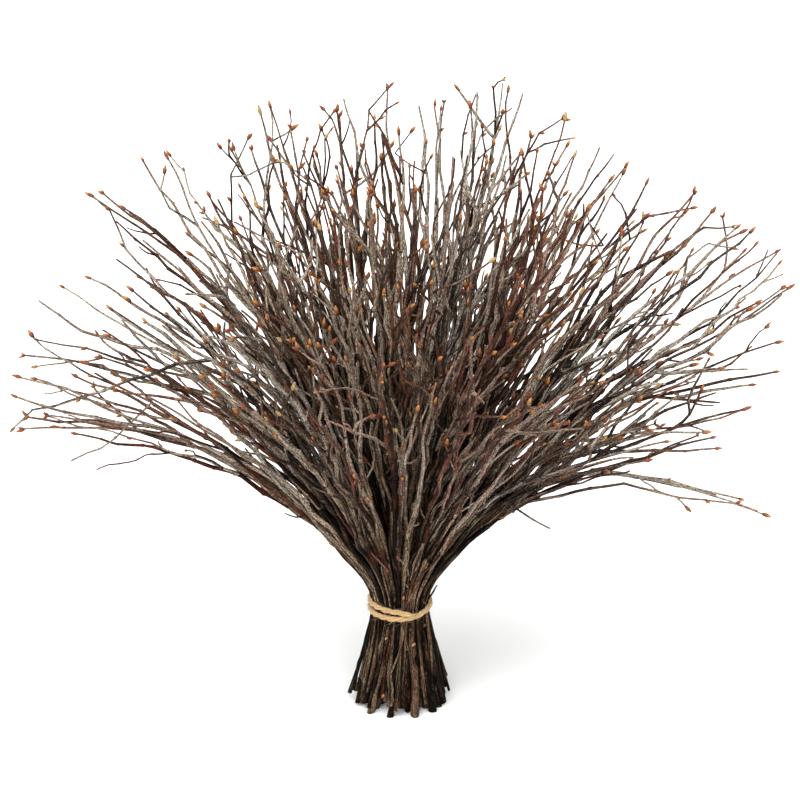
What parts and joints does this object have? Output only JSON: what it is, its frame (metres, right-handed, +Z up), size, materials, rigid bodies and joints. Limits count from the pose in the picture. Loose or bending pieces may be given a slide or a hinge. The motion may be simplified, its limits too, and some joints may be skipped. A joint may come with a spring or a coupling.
{
  "type": "twig bundle",
  "caption": "Tied bundle of bare, budding twigs, fanned out above a jute tie and standing on its cut ends.",
  "frame": {"origin": "on the surface that the cut ends stand on, under the middle of the bundle", "axes": "+Z up from the cut ends to the tips, +X across the widest way of the fan to the right, -Y the front, where the twine crosses itself"},
  "size_m": [0.6211, 0.4582, 0.506],
  "materials": {
    "brown_bark": "dull dark brown bark with fine lengthwise wrinkles, pale flecks and orange buds",
    "grey_bark": "weathered grey-brown bark with pale streaks",
    "red_bark": "thin dark red-brown bark, slightly satin",
    "jute": "fuzzy light tan three-strand jute twine, matte"
  },
  "bodies": {
    "root": {"twig_01": "brown_bark", "twig_02": "grey_bark", "twig_03": "grey_bark", "twig_04": "brown_bark", "twig_05": "grey_bark", "twig_06": "brown_bark", "twig_07": "grey_bark", "twig_08": "grey_bark", "twig_09": "brown_bark", "twig_10": "red_bark", "twig_11": "brown_bark", "twig_12": "red_bark", "twig_13": "red_bark", "twig_14": "red_bark", "twig_15": "grey_bark", "twig_16": "brown_bark", "twig_17": "brown_bark", "twig_18": "brown_bark", "twig_19": "red_bark", "twig_20": "brown_bark", "twig_21": "brown_bark", "twig_22": "red_bark", "twig_23": "red_bark", "twig_24": "grey_bark", "twig_25": "grey_bark", "twig_26": "grey_bark", "twig_27": "grey_bark", "twig_28": "brown_bark", "twig_29": "red_bark", "twig_30": "grey_bark", "twig_31": "grey_bark", "twig_32": "red_bark", "twig_33": "grey_bark", "twig_34": "red_bark", "twig_35": "grey_bark", "twig_36": "red_bark", "twig_37": "grey_bark", "twig_38": "grey_bark", "twig_39": "red_bark", "twig_40": "brown_bark", "twig_41": "red_bark", "twig_42": "red_bark", "twig_43": "grey_bark", "twig_44": "red_bark", "twig_45": "red_bark", "twig_46": "red_bark", "twig_47": "red_bark", "twig_48": "grey_bark", "twig_49": "red_bark", "twig_50": "brown_bark", "twig_51": "brown_bark", "twig_52": "red_bark", "twig_53": "red_bark", "twig_54": "brown_bark", "twig_55": "brown_bark", "twine": "jute"}
  },
  "joints": []
}
